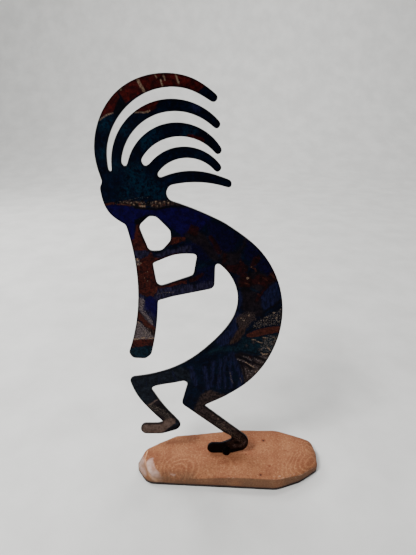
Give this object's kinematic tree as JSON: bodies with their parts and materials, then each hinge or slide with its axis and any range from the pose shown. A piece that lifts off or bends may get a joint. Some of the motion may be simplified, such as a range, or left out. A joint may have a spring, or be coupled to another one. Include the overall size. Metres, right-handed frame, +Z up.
{
  "type": "flute player figurine",
  "caption": "Humpbacked flute player cut as a flat steel silhouette with curved head feathers, standing on one foot on a rough stone slab.",
  "frame": {"origin": "middle of the slab's flat underside, on the surface that the figurine stands on", "axes": "+Z up, +X along the slab towards the figure's back, -Y the way the figure's decorated face looks; the flute player faces -X"},
  "size_m": [0.1715, 0.058, 0.3178],
  "materials": {
    "patina_steel": "glossy clear lacquer over a mottled blue, teal and rust patina",
    "dark_steel": "darkened, satin",
    "sandstone": "matt, fine grained, softly banded"
  },
  "bodies": {
    "root": {"flute_player": "patina_steel", "mounting_pin": "dark_steel", "sandstone_slab": "sandstone"}
  },
  "joints": []
}
